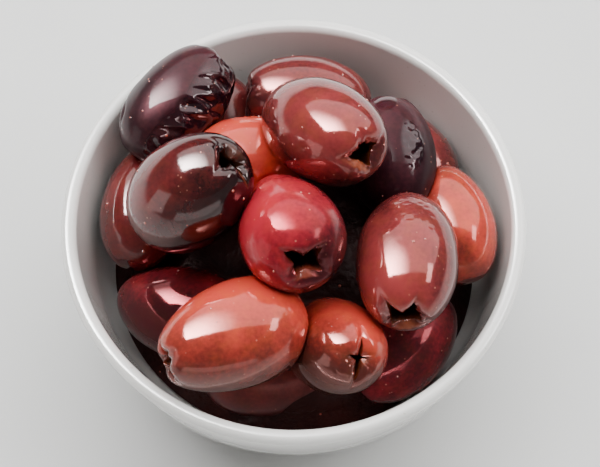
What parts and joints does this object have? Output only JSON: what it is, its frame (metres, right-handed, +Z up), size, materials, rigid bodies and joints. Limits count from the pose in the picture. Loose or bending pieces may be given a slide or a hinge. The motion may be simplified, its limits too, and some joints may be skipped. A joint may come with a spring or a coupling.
{
  "type": "dish of olives",
  "caption": "Small round porcelain dish heaped with pitted dark olives, wet and glossy, in a mix of near-black, wine-red and red-brown.",
  "frame": {"origin": "centre of the foot ring's underside, on the dish's axis", "axes": "+Z up along the dish's axis, +X to the right and -Y to the near side of a person looking down at the dish"},
  "size_m": [0.089, 0.089, 0.0573],
  "materials": {
    "porcelain": "smooth clear white glaze",
    "olive_skin": "wet glossy olive skin, from near-black to orange-brown"
  },
  "bodies": {
    "root": {"dish": "porcelain", "olives": "olive_skin"}
  },
  "joints": []
}
